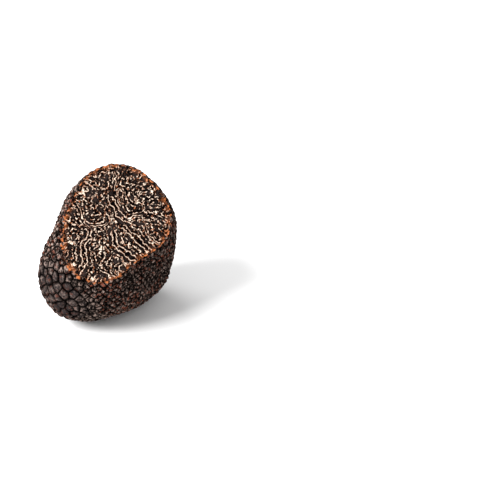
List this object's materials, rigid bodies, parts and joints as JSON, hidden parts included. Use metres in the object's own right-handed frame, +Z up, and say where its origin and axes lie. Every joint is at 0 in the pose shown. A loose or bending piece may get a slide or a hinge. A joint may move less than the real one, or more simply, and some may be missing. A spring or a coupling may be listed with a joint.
{
  "type": "black truffle",
  "caption": "Black truffle, a rounded warty fruiting body with one side sliced off to show the flat marbled flesh.",
  "frame": {"origin": "on the surface the truffle lies on, under the middle of its bounding box", "axes": "+Z up; the sliced face looks to the front, -Y, and upwards, turned a little to +X"},
  "size_m": [0.0532, 0.0546, 0.057],
  "materials": {
    "truffle_skin": "dull, rough, near-black brown warty skin; the sliced face is dark grey-brown flesh with cream veins"
  },
  "bodies": {
    "root": {"truffle": "truffle_skin"}
  },
  "joints": []
}
